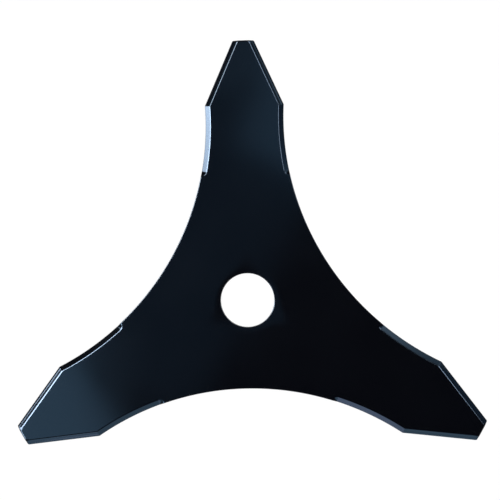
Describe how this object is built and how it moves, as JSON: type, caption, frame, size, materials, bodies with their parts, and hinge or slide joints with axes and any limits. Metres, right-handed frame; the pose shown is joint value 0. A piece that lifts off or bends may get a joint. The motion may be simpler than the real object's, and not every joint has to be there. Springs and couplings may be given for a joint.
{
  "type": "brushcutter thicket blade",
  "caption": "Flat steel cutting blade with tapered arms round a centre bore, concave edges between the arms, and edges bevelled on both faces.",
  "frame": {"origin": "on the bore axis, at the blade's lower face", "axes": "+Z along the bore axis, out of the upper face; +Y along one arm, towards its tip"},
  "size_m": [0.2214, 0.1919, 0.003],
  "materials": {
    "coat": "blue-black stoved coat, semi-gloss, over hardened steel with ground bevels"
  },
  "bodies": {
    "root": {"blade": "coat"}
  },
  "joints": []
}
